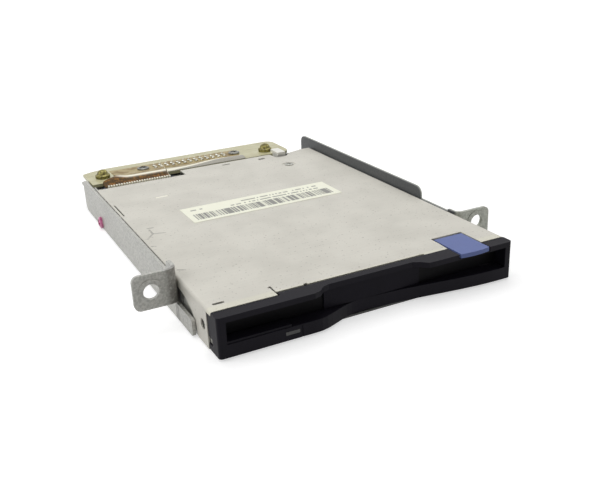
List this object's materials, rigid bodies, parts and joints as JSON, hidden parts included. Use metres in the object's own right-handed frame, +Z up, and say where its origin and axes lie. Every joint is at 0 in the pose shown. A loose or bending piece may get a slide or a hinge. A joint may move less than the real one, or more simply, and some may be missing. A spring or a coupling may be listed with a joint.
{
  "type": "slim floppy disk drive",
  "caption": "Slim disk drive with a sheet cover, black bezel with slot and eject button, two eared side brackets and a small connector board at the rear.",
  "frame": {"origin": "centre of the drive's underside", "axes": "+X to the right seen from the front, +Y to the rear, +Z up; the disk slot faces -Y"},
  "size_m": [0.123, 0.1521, 0.0167],
  "materials": {
    "cover_sheet": "matt rolled sheet",
    "screw_steel": "zinc plated",
    "label_paper": "satin paper label",
    "chassis_sheet": "plain galvanised sheet",
    "bezel_black": "fine moulded texture",
    "lamp_lens": "clear moulding, unlit",
    "button_blue": "satin moulding",
    "spring_wire": "spring steel",
    "inner_sheet": "rolled sheet",
    "turned_steel": "turned and plated",
    "magnet_black": "bonded magnet",
    "bearing_bronze": "sintered bronze",
    "coil_copper": "enamelled copper",
    "board_green": "solder mask",
    "moulded_dark": "glass filled moulding",
    "head_ceramic": "polished ceramic",
    "clamp_zinc": "die cast",
    "cable_amber": "polyimide film",
    "plunger_ivory": "moulded",
    "contact_tin": "tin plated",
    "interposer_cream": "bare laminate",
    "dark_screw": "nickel plated",
    "yellow_zinc": "yellow chromate",
    "nylon_white": "natural nylon",
    "bracket_zinc": "spangled galvanising",
    "screw_lacquer": "pink locking lacquer"
  },
  "bodies": {
    "drive_frame": {"top_cover": "cover_sheet", "cover_screw": "screw_steel", "controller_screws": "screw_steel", "right_side_screw": "screw_steel", "cover_label": "label_paper", "chassis": "chassis_sheet", "bezel": "bezel_black", "light_pipe": "lamp_lens", "activity_lamp": "lamp_lens", "grounding_spring": "spring_wire", "stepper_bracket": "inner_sheet", "guide_rod": "turned_steel", "spindle_bearing": "bearing_bronze", "stator_coils": "coil_copper", "motor_board": "board_green", "controller_board": "board_green", "track_sensor": "moulded_dark", "disk_switches": "moulded_dark", "flex_connector": "moulded_dark", "interface_header": "moulded_dark", "board_chips": "moulded_dark", "rod_clamps": "clamp_zinc", "stepper_motor": "clamp_zinc", "interface_flex": "cable_amber", "connector_contacts": "contact_tin", "header_pins": "contact_tin", "interposer_board": "interposer_cream", "header_screws": "dark_screw", "board_screws": "yellow_zinc", "nylon_clip": "nylon_white", "left_bracket": "bracket_zinc", "right_bracket": "bracket_zinc", "rear_bar": "bracket_zinc", "locked_screw": "screw_lacquer"},
    "eject_slide": {"eject_button": "button_blue", "eject_slider": "inner_sheet", "slider_springs": "spring_wire"},
    "carrier": {"disk_carrier": "inner_sheet", "carrier_pins": "turned_steel", "lever_rivet": "turned_steel"},
    "lever": {"shutter_lever": "inner_sheet", "lever_spring": "spring_wire"},
    "door": {"dust_door": "bezel_black", "door_spring": "spring_wire"},
    "spindle": {"spindle_shaft": "turned_steel", "rotor_cup": "turned_steel", "rotor_magnet": "magnet_black", "spindle_hub": "turned_steel"},
    "hub_pin": {"drive_pin": "turned_steel"},
    "carriage": {"head_carriage": "moulded_dark", "lower_head": "head_ceramic", "arm_pivot_pin": "turned_steel", "arm_spring": "spring_wire", "head_cable": "cable_amber"},
    "head_arm": {"upper_arm": "inner_sheet", "upper_head": "head_ceramic"},
    "screw": {"lead_screw": "turned_steel"},
    "write_tab": {"write_tab_plunger": "plunger_ivory"},
    "density": {"density_plunger": "plunger_ivory"},
    "disk_sense": {"disk_plunger": "plunger_ivory"}
  },
  "joints": [
    {"name": "eject_button_slide", "type": "slide", "parent": "drive_frame", "child": "eject_slide", "axis": [0, -1, 0], "range_m": [0, 0.0045]},
    {"name": "carrier_drop", "type": "slide", "parent": "drive_frame", "child": "carrier", "axis": [0, 0, -1], "range_m": [0, 0.002]},
    {"name": "shutter_lever_swing", "type": "hinge", "parent": "carrier", "child": "lever", "pos_m": [0.036, 0.025, 0.01165], "axis": [0, 0, -1], "range_deg": [0, 50], "stiffness_Nm_per_rad": 0.0002, "springref_deg": -11.46},
    {"name": "dust_door_swing", "type": "hinge", "parent": "drive_frame", "child": "door", "pos_m": [0, -0.06215, 0.0114], "axis": [1, 0, 0], "range_deg": [0, 85], "stiffness_Nm_per_rad": 0.0002, "springref_deg": -11.46},
    {"name": "spindle_spin", "type": "hinge", "parent": "drive_frame", "child": "spindle", "pos_m": [0, -0.0165, 0.003], "axis": [0, 0, 1], "continuous": true},
    {"name": "drive_pin_press", "type": "slide", "parent": "spindle", "child": "hub_pin", "axis": [0, 0, -1], "range_m": [0, 0.0007], "stiffness_N_per_m": 50},
    {"name": "carriage_slide", "type": "slide", "parent": "drive_frame", "child": "carriage", "axis": [0, -1, 0], "range_m": [0, 0.0148]},
    {"name": "head_arm_lower", "type": "hinge", "parent": "carriage", "child": "head_arm", "pos_m": [0, 0.0481, 0.0088], "axis": [1, 0, 0], "range_deg": [0, 8.9]},
    {"name": "lead_screw_spin", "type": "hinge", "parent": "drive_frame", "child": "screw", "pos_m": [0.0092, 0.04, 0.0062], "axis": [0, 1, 0], "range_deg": [0, 1777]},
    {"name": "write_tab_press", "type": "slide", "parent": "drive_frame", "child": "write_tab", "axis": [0, 0, -1], "range_m": [0, 0.0008], "stiffness_N_per_m": 60},
    {"name": "density_press", "type": "slide", "parent": "drive_frame", "child": "density", "axis": [0, 0, -1], "range_m": [0, 0.0008], "stiffness_N_per_m": 60},
    {"name": "disk_sense_press", "type": "slide", "parent": "drive_frame", "child": "disk_sense", "axis": [0, 0, -1], "range_m": [0, 0.0008], "stiffness_N_per_m": 60}
  ],
  "couplings": [
    {"joint": "carrier_drop", "follows": "eject_button_slide", "ratio": 0.4444},
    {"joint": "head_arm_lower", "follows": "eject_button_slide", "rad_per_m": 34.51},
    {"joint": "lead_screw_spin", "follows": "carriage_slide", "rad_per_m": 2094.4}
  ]
}
